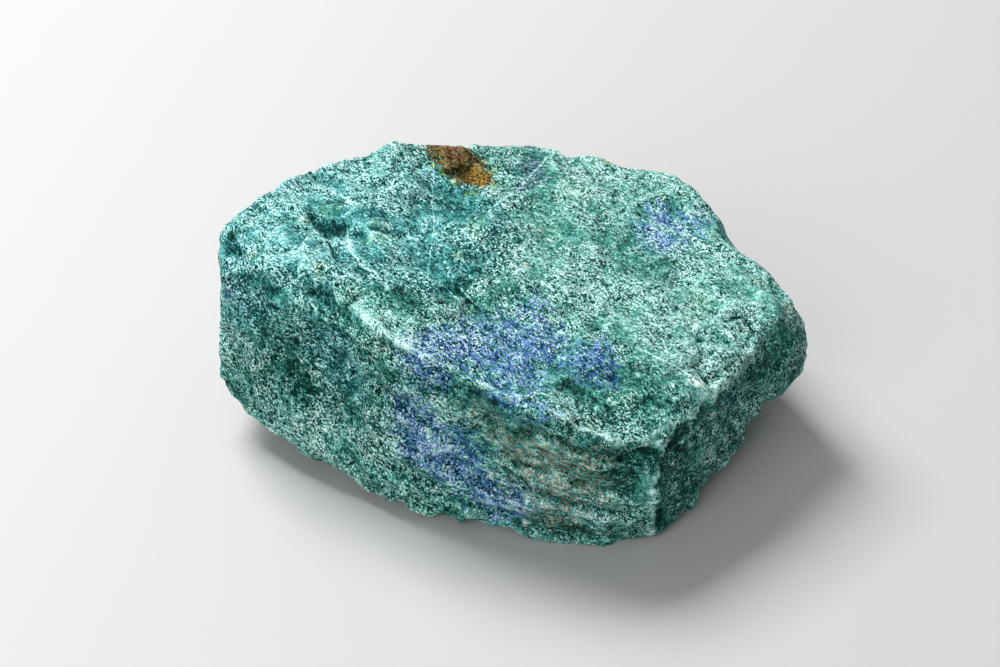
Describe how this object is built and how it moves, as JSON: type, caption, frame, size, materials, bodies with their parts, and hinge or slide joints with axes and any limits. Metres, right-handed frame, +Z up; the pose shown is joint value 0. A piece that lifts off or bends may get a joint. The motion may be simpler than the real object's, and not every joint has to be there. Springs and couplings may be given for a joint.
{
  "type": "azurite-malachite specimen",
  "caption": "Rough blocky lump of blue-green malachite rock with azurite patches and a rusty spot, resting on its flat sole.",
  "frame": {"origin": "middle of the stone's length and width, in the plane of its sole", "axes": "+X along the stone's longest side, +Y from the long front face to the back, +Z up from the sole"},
  "size_m": [0.0554, 0.043, 0.0208],
  "materials": {
    "malachite": "dull, finely crystalline broken rock: turquoise green to dark green, with blue azurite patches and one rust spot"
  },
  "bodies": {
    "root": {"stone": "malachite"}
  },
  "joints": []
}
